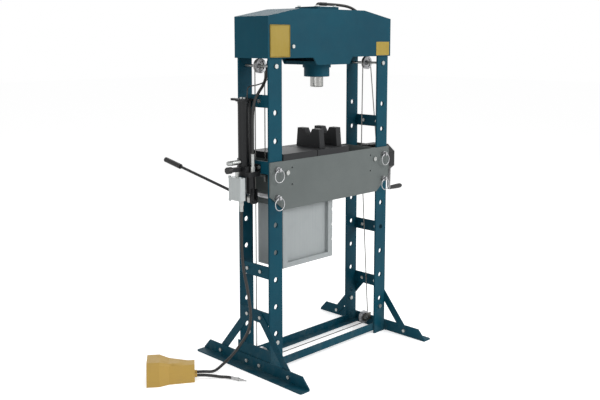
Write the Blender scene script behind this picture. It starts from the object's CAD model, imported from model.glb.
"""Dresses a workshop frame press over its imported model, lights it and sets the camera."""
import logging
import math
from dataclasses import dataclass
from enum import Enum

import bpy
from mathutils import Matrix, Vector


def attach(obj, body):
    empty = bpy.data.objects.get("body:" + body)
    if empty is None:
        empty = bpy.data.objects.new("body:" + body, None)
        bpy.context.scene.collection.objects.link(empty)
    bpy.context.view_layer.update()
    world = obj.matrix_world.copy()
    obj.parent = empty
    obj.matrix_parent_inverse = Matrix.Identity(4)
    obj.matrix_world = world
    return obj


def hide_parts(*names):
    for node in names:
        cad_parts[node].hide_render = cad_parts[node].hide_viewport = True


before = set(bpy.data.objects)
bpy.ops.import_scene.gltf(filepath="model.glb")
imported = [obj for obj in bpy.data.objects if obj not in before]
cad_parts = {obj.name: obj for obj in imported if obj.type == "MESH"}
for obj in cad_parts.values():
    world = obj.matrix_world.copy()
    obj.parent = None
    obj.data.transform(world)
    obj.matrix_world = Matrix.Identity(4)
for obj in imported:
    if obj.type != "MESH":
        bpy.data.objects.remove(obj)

log = logging.getLogger("press")

Point = tuple[float, float, float]
Colour = tuple[float, float, float, float]
Span = tuple[float, float]

WHITE: Colour = (1.0, 1.0, 1.0, 1.0)

# A face whose normal has a Y below this looks to the front.
FRONTWARD = -0.9

# A colour Mix node's sockets by number, because their names repeat for every type of data.
MIX_SHARE, MIX_FIRST, MIX_SECOND, MIX_RESULT = 0, 6, 7, 2


def paint(red: int, green: int, blue: int) -> Colour:
    """A display colour, 0 to 255 each, as the linear colour that a shader takes.

    Args:
        red: The red value.
        green: The green value.
        blue: The blue value.

    Returns:
        The linear colour with full alpha.
    """
    shares = (value / 255 for value in (red, green, blue))
    # The standard display curve: a straight line close to black, and a power above it.
    linear = [s / 12.92 if s <= 0.04045 else ((s + 0.055) / 1.055) ** 2.4 for s in shares]
    return (linear[0], linear[1], linear[2], 1.0)


def deselect() -> None:
    """Leaves nothing selected, as every operator below expects."""
    if bpy.context.mode != "OBJECT":
        bpy.ops.object.mode_set(mode="OBJECT")
    bpy.ops.object.select_all(action="DESELECT")


class Axis(Enum):
    """A direction that a tool's marks run round or along."""

    X = 0
    Y = 1
    Z = 2


class Field:
    """A shader value that is worked on with plain arithmetic."""

    def __init__(self, graph: "Graph", socket: bpy.types.NodeSocket) -> None:
        """Keeps the graph and the socket that carries the value."""
        self.graph = graph
        self.socket = socket

    def math(self, operation: str, *values: "Field | float") -> "Field":
        """Adds one Math node.

        Args:
            operation: The node's operation.
            values: All its inputs, in order.

        Returns:
            The result as a new value.
        """
        node = self.graph.add("ShaderNodeMath", {"operation": operation},
                              dict(enumerate(values)))
        return Field(self.graph, node.outputs[0])

    def __add__(self, other: "Field | float") -> "Field":
        """The sum."""
        return self.math("ADD", self, other)

    __radd__ = __add__

    def __mul__(self, other: "Field | float") -> "Field":
        """The product."""
        return self.math("MULTIPLY", self, other)

    __rmul__ = __mul__

    def __sub__(self, other: "Field | float") -> "Field":
        """The difference."""
        return self.math("SUBTRACT", self, other)

    def __rsub__(self, other: "Field | float") -> "Field":
        """The difference, from the other side."""
        return self.math("SUBTRACT", other, self)

    def largest(self, other: "Field | float") -> "Field":
        """The larger of two values."""
        return self.math("MAXIMUM", self, other)

    def step(self, low: float, high: float) -> "Field":
        """A smooth rise from 0 at low to 1 at high.

        Args:
            low: Where the rise starts.
            high: Where it ends.

        Returns:
            The eased value.
        """
        node = self.graph.add("ShaderNodeMapRange", {"interpolation_type": "SMOOTHSTEP"},
                              {"Value": self, "From Min": low, "From Max": high})
        return Field(self.graph, node.outputs["Result"])


class Graph:
    """The node tree of one finish or of the world, filled through a single method."""

    def __init__(self, owner: bpy.types.Material | bpy.types.World) -> None:
        """Empties the owner's tree.

        Args:
            owner: The material or world that the nodes are for.
        """
        owner.use_nodes = True
        self.owner = owner
        self.tree = owner.node_tree
        self.tree.nodes.clear()

    def add(self, kind: str, settings: dict | None = None,
            sockets: dict | None = None) -> bpy.types.Node:
        """Adds any node.

        Args:
            kind: The node's type name.
            settings: Its properties, set first.
            sockets: Values or links of its inputs, by name or number.

        Returns:
            The new node.
        """
        node = self.tree.nodes.new(kind)
        for key, value in (settings or {}).items():
            setattr(node, key, value)
        for key, value in (sockets or {}).items():
            if isinstance(value, Field):
                self.tree.links.new(value.socket, node.inputs[key])
            elif isinstance(value, bpy.types.NodeSocket):
                self.tree.links.new(value, node.inputs[key])
            else:
                node.inputs[key].default_value = value
        return node

    def place(self, scale: Point = (1.0, 1.0, 1.0),
              turn: Point = (0.0, 0.0, 0.0)) -> bpy.types.NodeSocket:
        """Object coordinates, stretched and turned.

        Args:
            scale: The stretch along each axis.
            turn: The turn about each axis, in degrees.

        Returns:
            The vector socket.
        """
        here = self.add("ShaderNodeTexCoord").outputs["Object"]
        turned = tuple(math.radians(angle) for angle in turn)
        mapping = self.add("ShaderNodeMapping", {},
                           {"Vector": here, "Scale": scale, "Rotation": turned})
        return mapping.outputs["Vector"]

    def noise(self, scale: float, detail: float = 2.0, rough: float = 0.5,
              where: bpy.types.NodeSocket | None = None) -> Field:
        """Soft noise over the object.

        Args:
            scale: Cells per metre.
            detail: Octaves.
            rough: How strong the fine octaves are.
            where: Coordinates, or the plain object coordinates.

        Returns:
            A value about 0.5.
        """
        node = self.add("ShaderNodeTexNoise", {},
                        {"Vector": where or self.place(), "Scale": scale, "Detail": detail,
                         "Roughness": rough})
        return Field(self, node.outputs["Fac"])

    def cells(self, scale: float) -> Field:
        """Distance to the nearest of scattered points.

        Args:
            scale: Cells per metre.

        Returns:
            A value from 0 at a point.
        """
        node = self.add("ShaderNodeTexVoronoi", {}, {"Vector": self.place(), "Scale": scale})
        return Field(self, node.outputs["Distance"])

    def upward(self, coordinate: str) -> Field:
        """The Z part of a texture coordinate.

        Args:
            coordinate: Its name: Object for the height in metres, Normal for how far the
                surface faces up, from -1 to 1.

        Returns:
            The Z value.
        """
        whole = self.add("ShaderNodeTexCoord").outputs[coordinate]
        return Field(self, self.add("ShaderNodeSeparateXYZ", {}, {"Vector": whole}).outputs["Z"])

    def rays(self) -> tuple[Field, Field, Field]:
        """Where a ray comes from.

        Returns:
            1 for a ray from the camera, from a reflection and through a clear piece, in turn.
        """
        path = self.add("ShaderNodeLightPath")
        kinds = ("Is Camera Ray", "Is Glossy Ray", "Is Transmission Ray")
        camera, glossy, through = (Field(self, path.outputs[kind]) for kind in kinds)
        return camera, glossy, through

    def blend(self, share: Field | float, first: Colour | bpy.types.NodeSocket,
              second: Colour | bpy.types.NodeSocket) -> bpy.types.NodeSocket:
        """Mixes two colours.

        Args:
            share: How much of the second.
            first: The colour at 0.
            second: The colour at 1.

        Returns:
            The colour socket.
        """
        node = self.add("ShaderNodeMix", {"data_type": "RGBA"},
                        {MIX_SHARE: share, MIX_FIRST: first, MIX_SECOND: second})
        return node.outputs[MIX_RESULT]

    def bump(self, relief: Field, depth: float, strength: float = 1.0,
             under: bpy.types.NodeSocket | None = None) -> bpy.types.NodeSocket:
        """Turns a relief into a normal.

        Args:
            relief: The relief, 0 to 1.
            depth: How deep it is, in metres.
            strength: How much of it shows.
            under: A normal that it is laid over.

        Returns:
            The normal socket.
        """
        sockets = {"Height": relief, "Distance": depth, "Strength": strength}
        if under is not None:
            sockets["Normal"] = under
        return self.add("ShaderNodeBump", {}, sockets).outputs["Normal"]

    def close(self, **sockets: object) -> bpy.types.Material:
        """Ends the tree in a surface shader.

        Args:
            sockets: Its inputs, with spaces written as underscores.

        Returns:
            The finished material.
        """
        names = {key.replace("_", " "): value for key, value in sockets.items()}
        shader = self.add("ShaderNodeBsdfPrincipled", {}, names)
        self.add("ShaderNodeOutputMaterial", {}, {"Surface": shader.outputs[0]})
        return self.owner


@dataclass(frozen=True)
class Enamel:
    """Sprayed machine enamel: faint orange peel, uneven gloss, dust near the floor and chips."""

    name: str
    colour: Colour
    shade: Colour
    chip: Colour
    dust: Colour
    gloss: float = 0.42
    specular: float = 0.3
    chips: float = 0.73
    chip_edge: float = 0.012
    chip_share: float = 0.8
    chip_depth: float = 0.0002
    chip_relief: float = 0.5
    cloud_scale: float = 2.4
    cloud_span: Span = (0.3, 0.7)
    cloud_gloss: float = 0.12
    grain_scale: float = 90.0
    grain_share: float = 0.35
    grain_least: float = 0.12
    grain_gloss: float = 0.06
    fleck_scale: float = 34.0
    dust_top: float = 0.22
    dust_scale: float = 14.0
    dust_span: Span = (0.42, 0.68)
    dust_low: float = 0.55
    dust_everywhere: float = 0.05
    dust_share: float = 0.5
    dust_gloss: float = 0.25
    ledge_span: Span = (0.75, 0.98)
    ledge_scale: float = 9.0
    ledge_patches: Span = (0.35, 0.65)
    ledge_share: float = 0.16
    peel_scale: float = 420.0
    peel_depth: float = 0.00025
    peel_relief: float = 0.35

    def make(self) -> bpy.types.Material:
        """Builds the material.

        Returns:
            The finished material.
        """
        graph = Graph(bpy.data.materials.new(self.name))
        clouds = graph.noise(self.cloud_scale, detail=4.0, rough=0.6)
        base = graph.blend(clouds.step(*self.cloud_span), self.shade, self.colour)
        grain = graph.noise(self.grain_scale, detail=3.0, rough=0.6)
        base = graph.blend((grain - 0.5) * self.grain_share + self.grain_least, base, self.shade)
        flecks = graph.noise(self.fleck_scale, detail=6.0, rough=0.62)
        chipped = flecks.step(self.chips, self.chips + self.chip_edge)
        base = graph.blend(chipped * self.chip_share, base, self.chip)
        low = 1 - graph.upward("Object").step(0.0, self.dust_top)
        patches = graph.noise(self.dust_scale, detail=5.0, rough=0.7).step(*self.dust_span)
        settled = patches * (low * self.dust_low + self.dust_everywhere)
        ledges = graph.upward("Normal").step(*self.ledge_span) * self.ledge_share
        swept = graph.noise(self.ledge_scale, detail=4.0, rough=0.6)
        ledges = ledges * swept.step(*self.ledge_patches)
        base = graph.blend(settled * self.dust_share + ledges, base, self.dust)
        peel = graph.noise(self.peel_scale, detail=2.0, rough=0.5)
        peel = graph.bump(peel, self.peel_depth, self.peel_relief)
        normal = graph.bump(1 - chipped, self.chip_depth, self.chip_relief, peel)
        rough = self.gloss + (clouds - 0.5) * self.cloud_gloss
        rough = rough + settled * self.dust_gloss + grain * self.grain_gloss
        return graph.close(Base_Color=base, Roughness=rough, Normal=normal,
                           Specular_IOR_Level=self.specular)


@dataclass(frozen=True)
class BrightMetal:
    """Turned, ground or plated metal with tool marks along one axis and a few dull stains."""

    name: str
    colour: Colour
    dark: Colour
    marks: Axis = Axis.Z
    gloss: float = 0.28
    stain: float = 0.35
    line_scale: float = 900.0
    line_stretch: float = 12.0
    line_span: Span = (0.25, 0.8)
    line_share: float = 0.5
    line_gloss: float = 0.18
    line_depth: float = 0.00006
    line_relief: float = 0.5
    stain_scale: float = 22.0
    stain_span: Span = (0.5, 0.75)
    dull_span: Span = (0.45, 0.7)
    dull_gloss: float = 0.14

    def make(self) -> bpy.types.Material:
        """Builds the material.

        Returns:
            The finished material.
        """
        graph = Graph(bpy.data.materials.new(self.name))
        stretch = [self.line_stretch] * 3
        stretch[self.marks.value] = self.line_scale
        lines = graph.noise(1.0, detail=3.0, rough=0.6, where=graph.place(tuple(stretch)))
        smudge = graph.noise(self.stain_scale, detail=5.0, rough=0.65)
        base = graph.blend(lines.step(*self.line_span) * self.line_share, self.dark, self.colour)
        base = graph.blend(smudge.step(*self.stain_span) * self.stain, base, self.dark)
        rough = self.gloss + (lines - 0.5) * self.line_gloss
        rough = rough + smudge.step(*self.dull_span) * self.dull_gloss
        normal = graph.bump(lines, self.line_depth, self.line_relief)
        return graph.close(Base_Color=base, Roughness=rough, Normal=normal, Metallic=1.0)


@dataclass(frozen=True)
class Moulded:
    """Moulded plastic or rubber: a fine pebbled grain, scuffs and handling marks."""

    name: str
    colour: Colour
    worn: Colour
    grain: float = 700.0
    depth: float = 0.00025
    gloss: float = 0.5
    specular: float = 0.35
    relief: float = 0.6
    pebble_gloss: float = 0.05
    scuff_scale: float = 26.0
    scuff_stretch: Point = (1.0, 1.0, 3.0)
    scuff_turn: Point = (20.0, 35.0, 10.0)
    scuff_span: Span = (0.52, 0.78)
    scuff_share: float = 0.6
    rubbed_span: Span = (0.45, 0.75)
    rubbed_gloss: float = 0.18
    fade_scale: float = 5.0
    fade_span: Span = (0.3, 0.7)
    fade_share: float = 0.3

    def make(self) -> bpy.types.Material:
        """Builds the material.

        Returns:
            The finished material.
        """
        graph = Graph(bpy.data.materials.new(self.name))
        pebbles = graph.cells(self.grain)
        scuffs = graph.noise(self.scuff_scale, detail=6.0, rough=0.7,
                             where=graph.place(self.scuff_stretch, self.scuff_turn))
        base = graph.blend(scuffs.step(*self.scuff_span) * self.scuff_share, self.colour,
                           self.worn)
        faded = graph.noise(self.fade_scale, detail=3.0).step(*self.fade_span) * self.fade_share
        base = graph.blend(faded, base, self.worn)
        rough = self.gloss + scuffs.step(*self.rubbed_span) * self.rubbed_gloss
        rough = rough - pebbles * self.pebble_gloss
        normal = graph.bump(pebbles, self.depth, self.relief)
        return graph.close(Base_Color=base, Roughness=rough, Normal=normal,
                           Specular_IOR_Level=self.specular)


@dataclass(frozen=True)
class CoatedSheet:
    """Plain coated sheet metal with faint rolling lines, finger marks and a few scratches."""

    name: str
    colour: Colour
    shade: Colour
    gloss: float = 0.38
    metallic: float = 0.2
    roll_stretch: Point = (260.0, 260.0, 3.0)
    roll_span: Span = (0.3, 0.7)
    roll_share: float = 0.35
    roll_gloss: float = 0.05
    mark_scale: float = 11.0
    mark_span: Span = (0.45, 0.8)
    mark_share: float = 0.4
    greasy_span: Span = (0.4, 0.7)
    greasy_gloss: float = 0.14
    scratch_stretch: Point = (620.0, 620.0, 9.0)
    scratch_turn: Point = (0.0, 24.0, 0.0)
    scratch_span: Span = (0.70, 0.74)
    scratch_patches: Span = (0.52, 0.6)
    scratch_share: float = 0.35
    scratch_relief: float = 0.5
    depth: float = 0.00008
    relief: float = 0.4

    def make(self) -> bpy.types.Material:
        """Builds the material.

        Returns:
            The finished material.
        """
        graph = Graph(bpy.data.materials.new(self.name))
        rolled = graph.noise(1.0, detail=3.0, rough=0.5, where=graph.place(self.roll_stretch))
        marks = graph.noise(self.mark_scale, detail=5.0, rough=0.6)
        scratch = graph.noise(1.0, detail=2.0, rough=0.5,
                              where=graph.place(self.scratch_stretch, self.scratch_turn))
        scored = scratch.step(*self.scratch_span) * marks.step(*self.scratch_patches)
        base = graph.blend(rolled.step(*self.roll_span) * self.roll_share, self.colour,
                           self.shade)
        soiled = marks.step(*self.mark_span) * self.mark_share + scored * self.scratch_share
        base = graph.blend(soiled, base, self.shade)
        rough = self.gloss + marks.step(*self.greasy_span) * self.greasy_gloss
        rough = rough + rolled * self.roll_gloss
        normal = graph.bump(rolled - scored * self.scratch_relief, self.depth, self.relief)
        return graph.close(Base_Color=base, Roughness=rough, Normal=normal,
                           Metallic=self.metallic)


@dataclass(frozen=True)
class Backdrop:
    """The floor: pale, with the press's shadow, and white to the camera where it is unshaded."""

    name: str
    colour: Colour
    lift: float

    def make(self) -> bpy.types.Material:
        """Builds the material.

        Returns:
            The finished material.
        """
        graph = Graph(bpy.data.materials.new(self.name))
        camera, glossy, through = graph.rays()
        strength = (camera + glossy + through) * self.lift
        glow = graph.add("ShaderNodeEmission", {}, {"Color": self.colour, "Strength": strength})
        matt = graph.add("ShaderNodeBsdfDiffuse", {}, {"Color": self.colour})
        both = graph.add("ShaderNodeAddShader", {}, {0: glow.outputs[0], 1: matt.outputs[0]})
        graph.add("ShaderNodeOutputMaterial", {}, {"Surface": both.outputs[0]})
        return graph.owner


TEAL = Enamel("teal_enamel", paint(4, 66, 82), paint(2, 57, 73), paint(48, 66, 72),
              paint(84, 98, 100), gloss=0.5, specular=0.12, chips=0.745)
BED_GREY = Enamel("bed_grey_enamel", paint(92, 98, 97), paint(84, 90, 89), paint(124, 128, 126),
                  paint(128, 128, 122), gloss=0.46, specular=0.25, chips=0.745)
BLACK = Enamel("black_enamel", paint(28, 30, 31), paint(21, 22, 24), paint(70, 70, 69),
               paint(72, 70, 66), gloss=0.42, specular=0.25, chips=0.755)
BLOCK_BLACK = Enamel("blackened_block", paint(34, 35, 37), paint(24, 25, 27), paint(84, 84, 82),
                     paint(54, 53, 51), gloss=0.5, specular=0.22, chips=0.72)
ROD = BrightMetal("ground_rod", paint(198, 198, 194), paint(150, 150, 148), gloss=0.2,
                  stain=0.25)
BOLTS = BrightMetal("plated_fasteners", paint(216, 218, 216), paint(150, 152, 150), gloss=0.42,
                    stain=0.45)
ZINC = BrightMetal("dull_zinc", paint(150, 148, 142), paint(104, 102, 98), gloss=0.46, stain=0.6)
TURNED_X = BrightMetal("turned_along_x", paint(200, 200, 200), paint(146, 146, 146), Axis.X,
                       gloss=0.38)
TURNED_Y = BrightMetal("turned_along_y", paint(208, 209, 210), paint(158, 158, 160), Axis.Y,
                       gloss=0.4)
WIRE = BrightMetal("drawn_wire", paint(176, 176, 172), paint(96, 96, 94), gloss=0.4, stain=0.5)
GREY_COAT = CoatedSheet("grey_coat", paint(176, 181, 181), paint(152, 158, 158))
CASE_COAT = CoatedSheet("case_coat", paint(146, 151, 152), paint(134, 140, 141), gloss=0.5,
                        metallic=0.0)
BLACK_GRIP = Moulded("black_grip", paint(30, 30, 31), paint(58, 57, 55), grain=520.0)
HOSE = Moulded("hose_rubber", paint(24, 24, 24), paint(52, 51, 49), grain=900.0, depth=0.00012,
               gloss=0.46, specular=0.4)
PEDAL = Moulded("pedal_yellow", paint(180, 148, 76), paint(164, 136, 82), grain=620.0,
                depth=0.0002, gloss=0.5, specular=0.2)
PEDAL_PAD = Moulded("pedal_pad", paint(66, 66, 64), paint(96, 94, 90), grain=300.0, depth=0.0004,
                    gloss=0.6)
PLATE_YELLOW = CoatedSheet("bare_yellow_plate", paint(146, 124, 40), paint(134, 113, 36),
                           gloss=0.6, metallic=0.0)


def dress(material: bpy.types.Material, *nodes: str) -> None:
    """Gives CAD nodes their finish.

    Args:
        material: The finish.
        nodes: The nodes' names.
    """
    for name in nodes:
        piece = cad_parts[name]
        if not piece.material_slots:
            piece.data.materials.append(material)
        for held in piece.material_slots:
            held.material = material
        log.info("dressed %s in %s", name, material.name)


@dataclass
class BarePlate:
    """A blank plate with rounded corners and a plain border, on a wall that faces the front."""

    name: str
    left: float
    right: float
    low: float
    high: float
    wall_y: float
    thick: float = 0.0012
    corner: float = 0.004
    corner_steps: int = 4
    rim: float = 0.004

    def build(self, finish: bpy.types.Material, body: str) -> bpy.types.Object:
        """Makes the plate.

        Args:
            finish: Its material.
            body: The body that it rides on.

        Returns:
            The plate.
        """
        deselect()
        middle = ((self.left + self.right) / 2, self.wall_y - self.thick / 2,
                  (self.low + self.high) / 2)
        extent = (self.right - self.left, self.thick, self.high - self.low)
        bpy.ops.mesh.primitive_cube_add(size=1, location=middle, scale=extent)
        plate = bpy.context.object
        plate.name = self.name
        bpy.ops.object.transform_apply(location=True, rotation=True, scale=True)
        for edge in plate.data.edges:
            ends = [plate.data.vertices[i].co for i in edge.vertices]
            edge.select = abs(ends[0].y - ends[1].y) > self.thick / 2
        for face in plate.data.polygons:
            face.select = False
        bpy.ops.object.mode_set(mode="EDIT")
        bpy.ops.mesh.select_mode(type="EDGE")
        bpy.ops.mesh.bevel(offset=self.corner, segments=self.corner_steps, affect="EDGES")
        bpy.ops.mesh.select_all(action="DESELECT")
        bpy.ops.object.mode_set(mode="OBJECT")
        for face in plate.data.polygons:
            face.select = face.normal.y < FRONTWARD
        bpy.ops.object.mode_set(mode="EDIT")
        bpy.ops.mesh.select_mode(type="FACE")
        bpy.ops.mesh.inset(thickness=self.rim, depth=0.0)
        bpy.ops.object.mode_set(mode="OBJECT")
        plate.data.materials.append(finish)
        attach(plate, body)
        log.info("plate %s", self.name)
        return plate


class FarEnd(Enum):
    """What a hose's far end is fixed to."""

    OBJECT = "object"
    CONNECTOR = "connector"


class Lay(Enum):
    """How a hose lies."""

    HANGING = "hanging"
    LOOSE = "loose"


class Stiffness(Enum):
    """How far a hose resists bending."""

    STIFF = "stiff"
    MEDIUM = "medium"


@dataclass
class Hose:
    """A flexible hose on one smooth line from fitting to fitting."""

    name: str
    radius: float
    length: float
    far_end: FarEnd
    lay: Lay
    stiffness: Stiffness
    points: tuple[Point, ...]
    carries: tuple[str, ...] = ()
    order: int = 3
    steps: int = 8
    ring_steps: int = 5

    def build(self, finish: bpy.types.Material) -> bpy.types.Object:
        """Args:
            finish: Its material.

        Returns:
            The hose.
        """
        deselect()
        line = bpy.data.curves.new(self.name, "CURVE")
        line.dimensions = "3D"
        line.bevel_depth = self.radius
        line.bevel_resolution = self.ring_steps
        line.use_fill_caps = True
        spline = line.splines.new("NURBS")
        spline.points.add(len(self.points) - 1)
        for knot, point in zip(spline.points, self.points):
            knot.co = (*point, 1.0)
        spline.order_u = self.order
        spline.use_endpoint_u = True
        spline.resolution_u = self.steps
        hose = bpy.data.objects.new(self.name + "_line", line)
        bpy.context.scene.collection.objects.link(hose)
        line.materials.append(finish)
        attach(hose, "frame")
        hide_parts(self.name)
        log.info("hose %s, %.3f m", self.name, self.length)
        return hose


@dataclass
class PressFrame:
    """Uprights, crown, ties, feet and base, all in the teal enamel."""

    bars: tuple[str, ...] = ("upright_front_left", "upright_front_right", "upright_rear_left",
                             "upright_rear_right", "side_ties", "foot_end_plates", "foot_left",
                             "foot_right", "foot_braces", "base_beams")
    crown: tuple[str, ...] = ("crown_front_plate", "crown_rear_plate", "crown_top_plate",
                              "crown_end_plates", "crown_cap_plate", "crown_seat_plate")
    plates: tuple[BarePlate, ...] = (
        BarePlate("crown_plate_large", -0.485, -0.342, 1.703, 1.872, -0.1315),
        BarePlate("crown_plate_small", 0.366, 0.484, 1.703, 1.782, -0.1315))

    def build(self) -> None:
        """Dresses the frame and sets the bare plates on the crown."""
        teal = TEAL.make()
        dress(teal, *self.bars, *self.crown)
        dress(BOLTS.make(), "frame_bolts")
        yellow = PLATE_YELLOW.make()
        for plate in self.plates:
            plate.build(yellow, "frame")


@dataclass
class RopeLift:
    """The wire rope, its pulleys and their hangers."""

    pulleys: tuple[str, ...] = ("pulley_upper_left", "pulley_upper_right", "pulley_lower_left",
                                "pulley_lower_right")

    def build(self) -> None:
        """Dresses the rope and the pulleys."""
        dress(TURNED_Y.make(), *self.pulleys)
        dress(ZINC.make(), "pulley_hangers")
        dress(WIRE.make(), "wire_rope")


@dataclass
class Ram:
    """The hydraulic cylinder in the crown and its rod."""

    def build(self) -> None:
        """Dresses the cylinder and the rod."""
        dress(ROD.make(), "piston_rod")
        dress(TEAL.make(), "cylinder_barrel")


@dataclass
class Bed:
    """The bed plates, their pins, the press plates and the V blocks."""

    pins: tuple[str, ...] = ("bed_pin_lower_left", "bed_pin_lower_right", "bed_pin_upper_left",
                             "bed_pin_upper_right")

    def build(self) -> None:
        """Dresses the bed and what lies on it."""
        dress(BED_GREY.make(), "bed_front_plate", "bed_rear_plate", "bed_cross_plates")
        dress(TURNED_Y.make(), *self.pins)
        dress(BLOCK_BLACK.make(), "press_plate_left", "press_plate_right", "v_block_left",
              "v_block_right")
        dress(CASE_COAT.make(), "sheet_case")


@dataclass
class Winch:
    """The geared winch on the right end of the bed."""

    def build(self) -> None:
        """Dresses the winch."""
        dress(BLACK.make(), "winch_cover", "rope_guide")
        dress(TURNED_X.make(), "winch_drum", "winch_gear", "winch_crank")
        dress(BLACK_GRIP.make(), "crank_grip")


@dataclass
class HandPump:
    """The hand pump with its reservoir, lever, valve box and fittings."""

    def build(self) -> None:
        """Dresses the pump."""
        dress(BLACK.make(), "pump_block", "pump_bracket", "reservoir_tube", "pump_lever")
        dress(BLACK_GRIP.make(), "lever_grip", "release_knob")
        dress(ROD.make(), "pump_plunger")
        dress(BOLTS.make(), "pump_fittings")
        dress(GREY_COAT.make(), "air_valve_box")
        dress(BLACK.make(), "hose_elbow")


@dataclass
class FootValve:
    """The yellow foot valve on the floor."""

    def build(self) -> None:
        """Dresses the valve."""
        dress(PEDAL.make(), "pedal_hood")
        dress(PEDAL_PAD.make(), "pedal_treadle")
        dress(TURNED_X.make(), "hose_coupling")


@dataclass
class Hoses:
    """The four hoses of the press."""

    runs: tuple[Hose, ...] = (
        Hose("pressure_hose", 0.008, 1.92, FarEnd.OBJECT, Lay.HANGING, Stiffness.STIFF, (
            (-0.5310, -0.0450, 1.2000), (-0.5310, -0.0450, 1.3100), (-0.5300, -0.0460, 1.4250),
            (-0.5200, -0.0520, 1.4820), (-0.4940, -0.0570, 1.5260), (-0.4600, -0.0540, 1.5580),
            (-0.4300, -0.0430, 1.5980), (-0.4130, -0.0320, 1.6480), (-0.4000, -0.0360, 1.7040),
            (-0.3660, -0.0560, 1.7520), (-0.3000, -0.0800, 1.7780), (-0.2050, -0.0950, 1.7820),
            (-0.1000, -0.1020, 1.7750), (0.0100, -0.1040, 1.7650), (0.1180, -0.1010, 1.7520),
            (0.2150, -0.0920, 1.7380), (0.3000, -0.0780, 1.7300), (0.3720, -0.0610, 1.7370),
            (0.4240, -0.0420, 1.7680), (0.4440, -0.0250, 1.8240), (0.4240, -0.0110, 1.8860),
            (0.3680, -0.0040, 1.9420), (0.2900, -0.0010, 1.9830), (0.1770, 0.0000, 1.9940),
            (0.0770, 0.0000, 1.9940))),
        Hose("return_hose", 0.0035, 0.665, FarEnd.OBJECT, Lay.HANGING, Stiffness.MEDIUM, (
            (-0.5300, -0.0040, 1.4860), (-0.5300, -0.0040, 1.5200), (-0.5190, 0.0030, 1.5450),
            (-0.4950, 0.0100, 1.5520), (-0.4550, 0.0130, 1.5540), (-0.4100, 0.0140, 1.5620),
            (-0.3680, 0.0140, 1.5800), (-0.3370, 0.0130, 1.6180), (-0.3220, 0.0110, 1.6680),
            (-0.3140, 0.0080, 1.7220), (-0.2920, 0.0050, 1.7760), (-0.2480, 0.0030, 1.8150),
            (-0.1900, 0.0010, 1.8340), (-0.1225, 0.0000, 1.8380), (-0.0725, 0.0000, 1.8380))),
        Hose("air_hose", 0.008, 1.145, FarEnd.OBJECT, Lay.HANGING, Stiffness.MEDIUM, (
            (-0.5940, -0.0240, 0.8980), (-0.5940, -0.0240, 0.8460), (-0.5990, -0.0290, 0.7820),
            (-0.6030, -0.0340, 0.7120), (-0.6060, -0.0420, 0.6440), (-0.6060, -0.0540, 0.5800),
            (-0.6020, -0.0680, 0.5180), (-0.5990, -0.0800, 0.4560), (-0.5970, -0.0900, 0.3940),
            (-0.5930, -0.0910, 0.3320), (-0.5900, -0.0760, 0.2720), (-0.5890, -0.0420, 0.2140),
            (-0.5890, 0.0000, 0.1620), (-0.5890, 0.0400, 0.1140), (-0.5910, 0.0780, 0.0720),
            (-0.6030, 0.1060, 0.0400), (-0.6290, 0.1140, 0.0220), (-0.6650, 0.1060, 0.0140),
            (-0.7030, 0.0920, 0.0170), (-0.7350, 0.0830, 0.0270), (-0.7695, 0.0926, 0.0360),
            (-0.7981, 0.1144, 0.0360))),
        Hose("pedal_hose", 0.008, 0.190, FarEnd.CONNECTOR, Lay.LOOSE, Stiffness.MEDIUM, (
            (-0.8163, 0.0906, 0.0300), (-0.7925, 0.0724, 0.0300), (-0.7380, 0.0420, 0.0170),
            (-0.7120, 0.0180, 0.0105), (-0.6868, -0.0072, 0.0105), (-0.6790, -0.0320, 0.0105)),
             ("hose_coupling",)))

    def build(self) -> None:
        """Lays each hose."""
        rubber = HOSE.make()
        for run in self.runs:
            run.build(rubber)


@dataclass
class Lamp:
    """A large soft lamp that faces the middle of the press."""

    name: str
    place: Point
    watts: float
    side: float = 3.0
    aim: Point = (0.0, 0.0, 1.0)

    def build(self) -> None:
        """Hangs the lamp and turns it to the press."""
        light = bpy.data.lights.new(self.name, "AREA")
        light.size = self.side
        light.energy = self.watts
        lamp = bpy.data.objects.new(self.name, light)
        lamp.location = self.place
        way = Vector(self.aim) - Vector(self.place)
        lamp.rotation_euler = way.to_track_quat("-Z", "Y").to_euler()
        bpy.context.scene.collection.objects.link(lamp)


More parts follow.
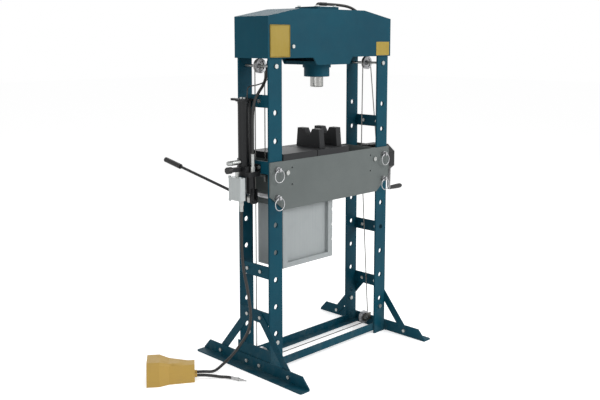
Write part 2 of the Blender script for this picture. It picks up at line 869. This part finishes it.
@dataclass
class Studio:
    """The camera, the pale floor, the soft lights and the white world."""

    place: Point = (-3.3729, -3.2311, 1.7958)
    yaw: float = -45.068
    pitch: float = 7.407
    lens: float = 49.193
    sensor: float = 36.0
    shift: float = -0.09
    sight: Span = (0.05, 100.0)
    floor_side: float = 60.0
    floor: Backdrop = Backdrop("studio_floor", (0.9, 0.9, 0.9, 1.0), 0.55)
    lamps: tuple[Lamp, ...] = (Lamp("key_lamp", (1.6, -4.4, 3.2), 180.0),
                               Lamp("fill_lamp", (-4.2, -1.2, 2.6), 45.0),
                               Lamp("back_lamp", (2.0, 4.0, 3.4), 60.0))
    sky: float = 0.55

    def build(self) -> None:
        """Sets the camera, the floor, the lamps and the world."""
        self.camera()
        self.ground()
        for lamp in self.lamps:
            lamp.build()
        self.world()
        bpy.context.scene.view_settings.view_transform = "Standard"

    def camera(self) -> None:
        """Stands the camera at the photograph's viewing angle."""
        eye = bpy.data.cameras.new("photo_camera")
        eye.lens = self.lens
        eye.sensor_width = self.sensor
        eye.shift_y = self.shift
        eye.clip_start, eye.clip_end = self.sight
        camera = bpy.data.objects.new("photo_camera", eye)
        camera.location = self.place
        camera.rotation_euler = (math.radians(90 - self.pitch), 0, math.radians(self.yaw))
        bpy.context.scene.collection.objects.link(camera)
        bpy.context.scene.camera = camera

    def ground(self) -> None:
        """Lays the floor."""
        deselect()
        bpy.ops.mesh.primitive_plane_add(size=self.floor_side, location=(0, 0, 0))
        floor = bpy.context.object
        floor.name = self.floor.name
        floor.data.materials.append(self.floor.make())

    def world(self) -> None:
        """Makes a world that lights softly and shows white to the camera and in reflections."""
        world = bpy.data.worlds.new("studio_world")
        graph = Graph(world)
        camera, glossy, through = graph.rays()
        seen = camera.largest(glossy).largest(through)
        strength = graph.add("ShaderNodeMapRange", {},
                             {"Value": seen, "To Min": self.sky, "To Max": 1.0})
        glow = graph.add("ShaderNodeBackground", {},
                         {"Color": WHITE, "Strength": strength.outputs["Result"]})
        graph.add("ShaderNodeOutputWorld", {}, {"Surface": glow.outputs[0]})
        bpy.context.scene.world = world


def main() -> None:
    """Builds the press's sub-assemblies in order and reports each piece."""
    logging.basicConfig(level=logging.INFO, format="%(name)s: %(message)s")
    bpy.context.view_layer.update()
    Studio().build()
    Hoses().build()
    PressFrame().build()
    RopeLift().build()
    Ram().build()
    Bed().build()
    Winch().build()
    HandPump().build()
    FootValve().build()


if __name__ == "__main__":
    main()
